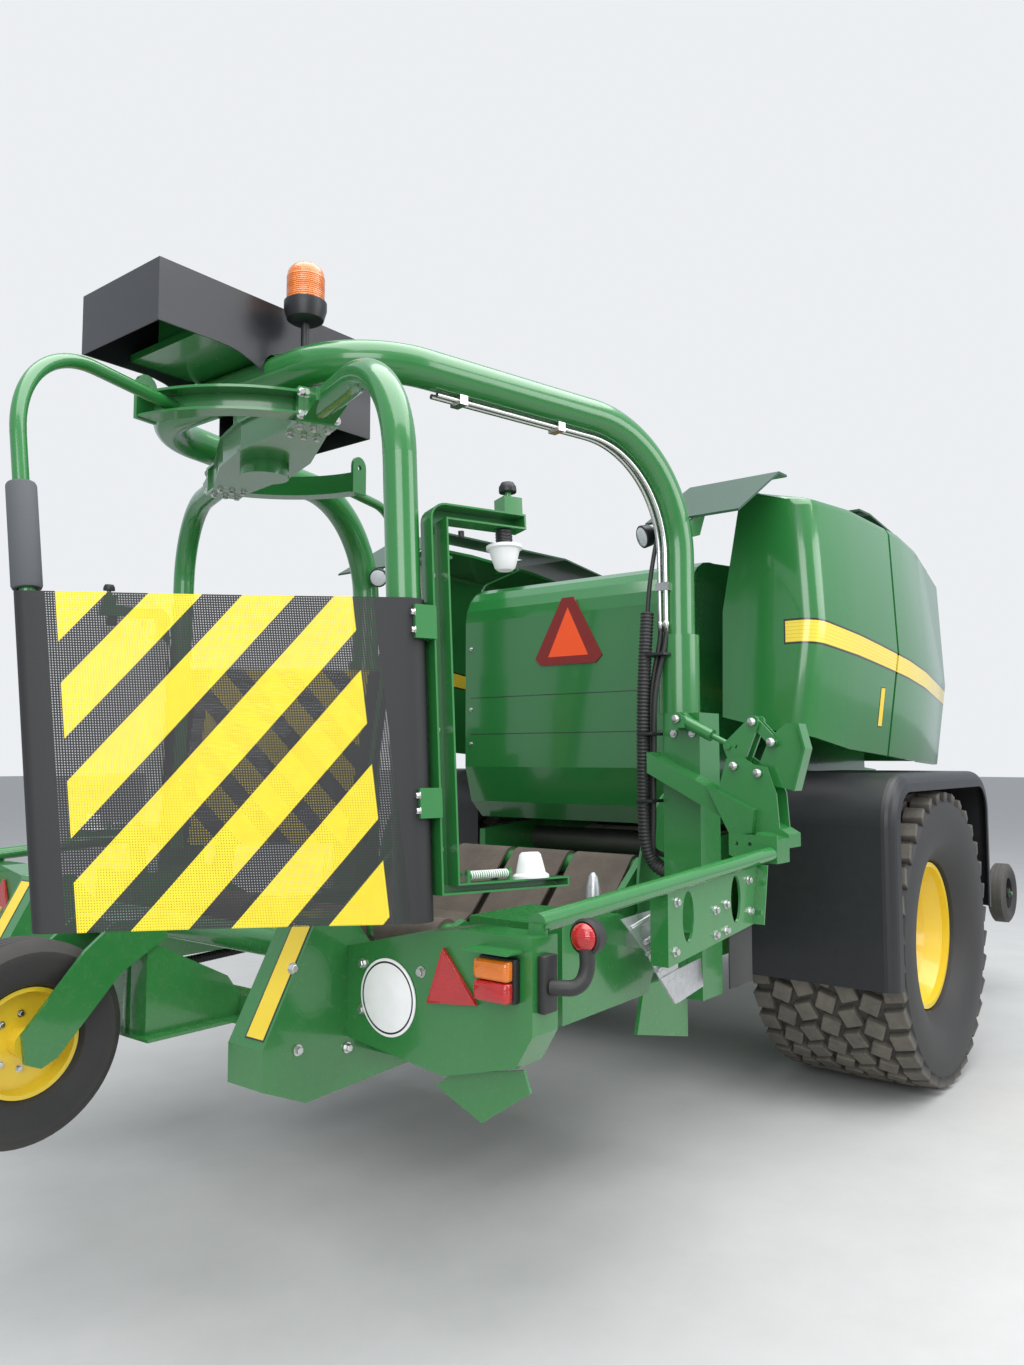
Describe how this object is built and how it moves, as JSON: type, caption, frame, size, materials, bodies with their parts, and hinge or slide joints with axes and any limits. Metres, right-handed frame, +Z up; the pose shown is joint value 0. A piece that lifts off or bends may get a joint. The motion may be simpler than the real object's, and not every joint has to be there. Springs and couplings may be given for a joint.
{
  "type": "towed round baler with bale wrapper",
  "caption": "Towed round baler with a twin-arm film wrapper, tilting belt table and raised pickup, parked on its wheels and drawbar jack.",
  "frame": {"origin": "on the ground under the middle of the main axle, which is the middle of the bounding box's base", "axes": "+X to the drawbar, +Y to the left, +Z up"},
  "size_m": [7.8899, 2.966, 3.162],
  "materials": {
    "green_paint": "gloss",
    "dark_green_paint": "satin",
    "yellow_paint": "gloss",
    "black_plastic": "satin",
    "black_paint": "satin",
    "tyre_rubber": "matte",
    "belt_rubber": "matte",
    "bright_steel": "satin",
    "galvanised": "spangled",
    "net_cloth": "coated mesh with yellow stripes",
    "sign_orange": "reflective",
    "lamp_red": "gloss",
    "beacon_amber": "gloss"
  },
  "bodies": {
    "base_frame": {"chassis": "green_paint", "axle": "green_paint", "chamber": "green_paint", "chamber_walls": "green_paint", "chamber_rollers": "black_paint", "gear_case": "green_paint", "roof": "dark_green_paint", "side_panels": "green_paint", "panel_arms": "dark_green_paint", "hoop": "green_paint", "posts": "green_paint", "drive_cover": "black_paint", "rotor_drive": "green_paint", "beacon": "beacon_amber", "hoop_pipes": "bright_steel", "fender_left": "black_plastic", "fender_right": "black_plastic", "wrap_frame": "green_paint", "lamp_boards": "green_paint", "rear_lamps": "lamp_red", "side_rails": "green_paint", "film_chute": "galvanised", "outriggers": "green_paint", "drawbar": "green_paint", "jack_sleeve": "black_paint", "rear_fork": "green_paint"},
    "wheel_left": {"tyre_left": "tyre_rubber", "rim_left": "yellow_paint"},
    "wheel_right": {"tyre_right": "tyre_rubber", "rim_right": "yellow_paint"},
    "rotor": {"rotor_beam": "green_paint", "rotor_arms": "green_paint", "guard_tubes": "green_paint", "guard_nets": "net_cloth", "film_frames": "green_paint", "film_rollers": "bright_steel"},
    "gate": {"tailgate": "green_paint", "tailgate_walls": "green_paint", "tailgate_rollers": "black_paint", "tailgate_sign": "sign_orange"},
    "side_door_left": {"door_left": "green_paint"},
    "side_door_right": {"door_right": "green_paint"},
    "pickup": {"pickup_frame": "green_paint"},
    "reel": {"pickup_reel": "bright_steel"},
    "gauge_left": {"gauge_wheel_left": "tyre_rubber"},
    "gauge_right": {"gauge_wheel_right": "tyre_rubber"},
    "table": {"table_frame": "green_paint", "table_belts": "belt_rubber"},
    "rear_wheel": {"rear_tyre": "tyre_rubber", "rear_rim": "yellow_paint"},
    "jack": {"jack_leg": "bright_steel"}
  },
  "joints": [
    {"name": "wheel_left_spin", "type": "hinge", "parent": "base_frame", "child": "wheel_left", "pos_m": [0, 1.12, 0.69], "axis": [0, 1, 0], "continuous": true},
    {"name": "wheel_right_spin", "type": "hinge", "parent": "base_frame", "child": "wheel_right", "pos_m": [0, -1.12, 0.69], "axis": [0, 1, 0], "continuous": true},
    {"name": "rotor_spin", "type": "hinge", "parent": "base_frame", "child": "rotor", "pos_m": [-2.85, 0, 2.7], "axis": [0, 0, 1], "continuous": true},
    {"name": "tailgate_lift", "type": "hinge", "parent": "base_frame", "child": "gate", "pos_m": [0.3, 0, 2.3], "axis": [0, 1, 0], "range_deg": [0, 50]},
    {"name": "door_left_swing", "type": "hinge", "parent": "base_frame", "child": "side_door_left", "pos_m": [-0.6, 0.95, 2.66], "axis": [1, 0, 0], "range_deg": [0, 70]},
    {"name": "door_right_swing", "type": "hinge", "parent": "base_frame", "child": "side_door_right", "pos_m": [-0.6, -0.95, 2.66], "axis": [-1, 0, 0], "range_deg": [0, 70]},
    {"name": "pickup_lift", "type": "hinge", "parent": "base_frame", "child": "pickup", "pos_m": [1.35, 0, 0.86], "axis": [0, 1, 0], "range_deg": [0, 22]},
    {"name": "reel_spin", "type": "hinge", "parent": "pickup", "child": "reel", "pos_m": [2.05, 0, 0.62], "axis": [0, 1, 0], "continuous": true},
    {"name": "gauge_left_spin", "type": "hinge", "parent": "pickup", "child": "gauge_left", "pos_m": [2.35, 1.15, 0.63], "axis": [0, 1, 0], "continuous": true},
    {"name": "gauge_right_spin", "type": "hinge", "parent": "pickup", "child": "gauge_right", "pos_m": [2.35, -1.15, 0.63], "axis": [0, 1, 0], "continuous": true},
    {"name": "table_tilt", "type": "hinge", "parent": "base_frame", "child": "table", "pos_m": [-1.65, 0, 0.76], "axis": [0, 1, 0], "range_deg": [-14, 8]},
    {"name": "rear_wheel_spin", "type": "hinge", "parent": "base_frame", "child": "rear_wheel", "pos_m": [-3.66, 0, 0.74], "axis": [0, 1, 0], "continuous": true},
    {"name": "jack_slide", "type": "slide", "parent": "base_frame", "child": "jack", "axis": [0, 0, -1], "range_m": [0, 0.3]}
  ]
}
